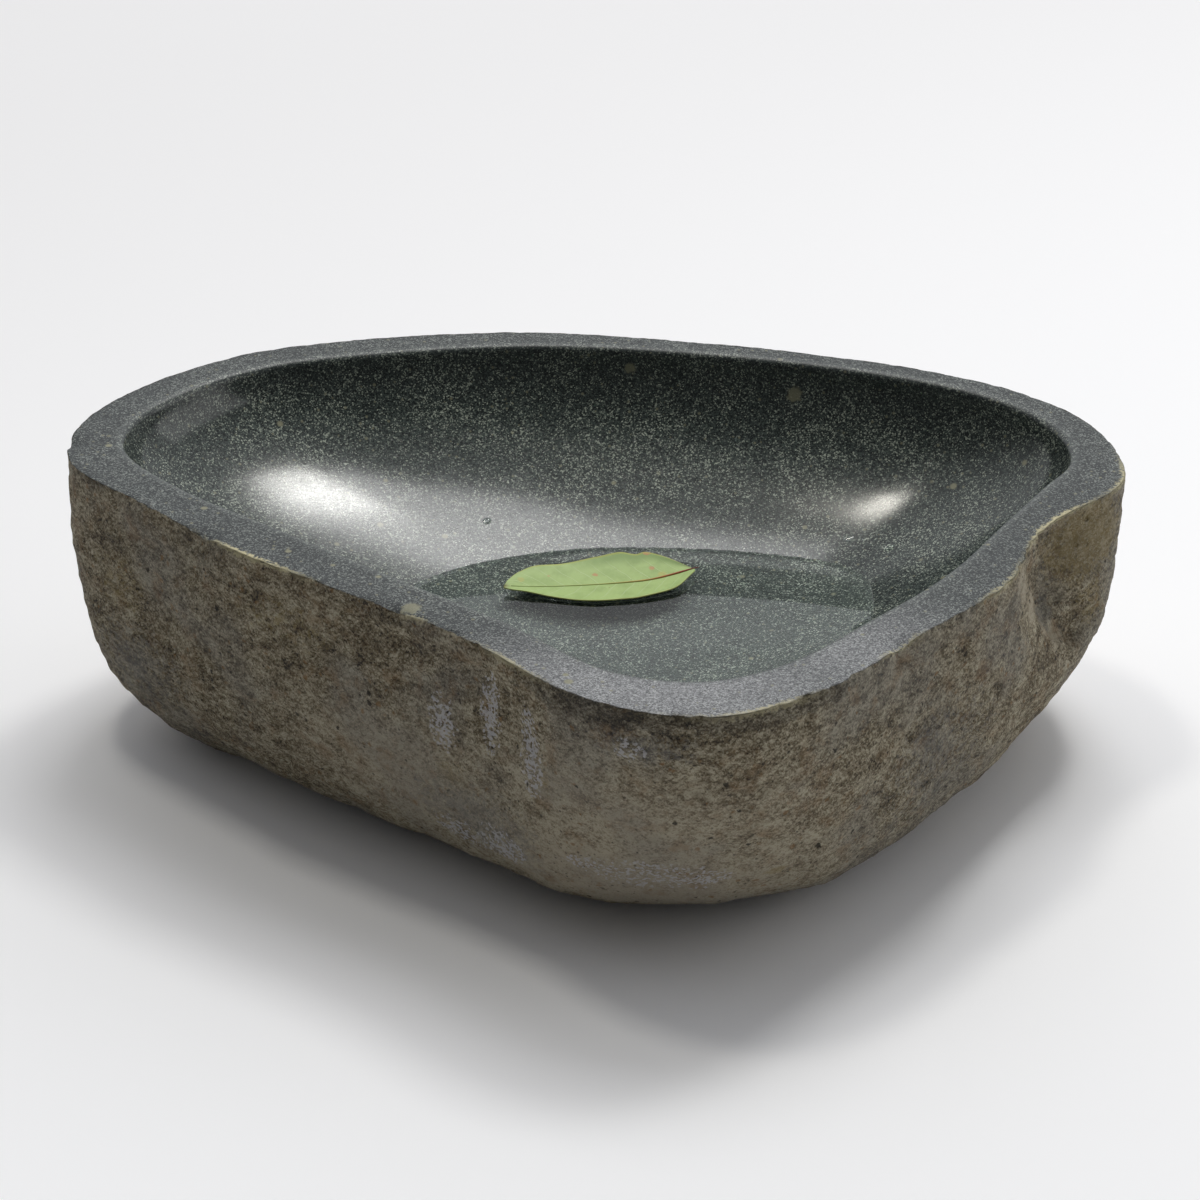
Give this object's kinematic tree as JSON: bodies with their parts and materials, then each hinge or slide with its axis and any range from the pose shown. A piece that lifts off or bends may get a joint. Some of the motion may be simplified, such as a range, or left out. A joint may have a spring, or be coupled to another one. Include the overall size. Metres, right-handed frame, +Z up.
{
  "type": "river stone bowl",
  "caption": "Hollowed natural river stone with a sawn, honed rim and a rough crust, holding a shallow pool of water with a floating leaf.",
  "frame": {"origin": "centre of the stone's bounding box at the surface that it rests on", "axes": "+X along the stone's length to its right corner, +Y to its back, +Z up"},
  "size_m": [0.43, 0.337, 0.125],
  "materials": {
    "stone": "polished hollow, honed rim and rough weathered crust",
    "water": "clear still water",
    "leaf": "matt leaf underside",
    "midrib": "smooth leaf rib, dark red at the stalk"
  },
  "bodies": {
    "stone_bowl": {"stone_bowl": "stone"},
    "water": {"water_pool": "water"},
    "leaf": {"leaf_blade": "leaf", "leaf_midrib": "midrib"}
  },
  "joints": [
    {"name": "water_lift", "type": "slide", "parent": "stone_bowl", "child": "water", "axis": [0, 0, 1], "range_m": [0, 0.16]},
    {"name": "leaf_drift", "type": "hinge", "parent": "water", "child": "leaf", "pos_m": [0.01789, 0.00301, 0.06], "axis": [0, 0, 1], "continuous": true}
  ]
}
